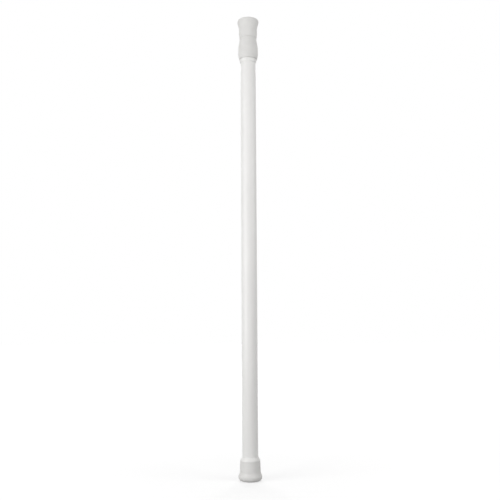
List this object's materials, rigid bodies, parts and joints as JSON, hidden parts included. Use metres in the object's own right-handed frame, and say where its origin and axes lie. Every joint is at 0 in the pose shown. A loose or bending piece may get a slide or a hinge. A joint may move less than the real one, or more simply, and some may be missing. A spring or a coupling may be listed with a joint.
{
  "type": "spring tension rod",
  "caption": "Telescoping spring tension rod with soft flared end feet, a grip collar, an inner spring and a twist lock, wedged between two walls to carry a light curtain.",
  "frame": {"origin": "centre of the lower foot's pressing face", "axes": "+Z along the rod from the lower foot to the upper foot, +X towards the lock core's off-centre journal"},
  "size_m": [0.0236, 0.0236, 0.4734],
  "materials": {
    "white_enamel": "gloss white enamel on steel tube",
    "soft_vinyl": "matte off-white soft vinyl",
    "white_plastic": "smooth white moulding",
    "natural_nylon": "uncoloured nylon",
    "bright_steel": "plain drawn steel",
    "spring_steel": "oiled spring wire"
  },
  "bodies": {
    "outer": {"outer_tube": "white_enamel", "lower_foot": "soft_vinyl", "lower_ferrule": "white_plastic", "lower_end_plug": "white_plastic", "mouth_ferrule": "white_plastic", "collar": "soft_vinyl"},
    "guide": {"mouth_bush": "white_plastic"},
    "inner": {"inner_tube": "white_enamel", "upper_end_plug": "white_plastic", "upper_foot": "soft_vinyl", "spring_stop": "natural_nylon", "spring_stop_pin": "bright_steel", "tail_bush": "natural_nylon", "tail_bush_pins": "bright_steel", "spring": "spring_steel"},
    "plunger": {"plunger_rod": "bright_steel", "plunger_head": "natural_nylon", "plunger_head_pin": "bright_steel", "lock_core": "natural_nylon", "core_washer": "bright_steel", "core_screw": "bright_steel"},
    "cam": {"cam_ring": "natural_nylon"}
  },
  "joints": [
    {"name": "twist", "type": "hinge", "parent": "outer", "child": "guide", "pos_m": [0, 0, 0.44], "axis": [0, 0, 1], "range_deg": [-40, 40]},
    {"name": "extension", "type": "slide", "parent": "guide", "child": "inner", "axis": [0, 0, 1], "range_m": [0, 0.237]},
    {"name": "spring_press", "type": "slide", "parent": "inner", "child": "plunger", "axis": [0, 0, 1], "range_m": [0, 0.03], "stiffness_N_per_m": 1500, "springref_m": -0.01, "deforming": ["spring"]},
    {"name": "cam_swing", "type": "hinge", "parent": "plunger", "child": "cam", "pos_m": [0.0008, 0, 0.0254], "axis": [0, 0, 1], "range_deg": [-40, 40]}
  ],
  "couplings": [
    {"joint": "cam_swing", "follows": "twist", "ratio": -1}
  ]
}
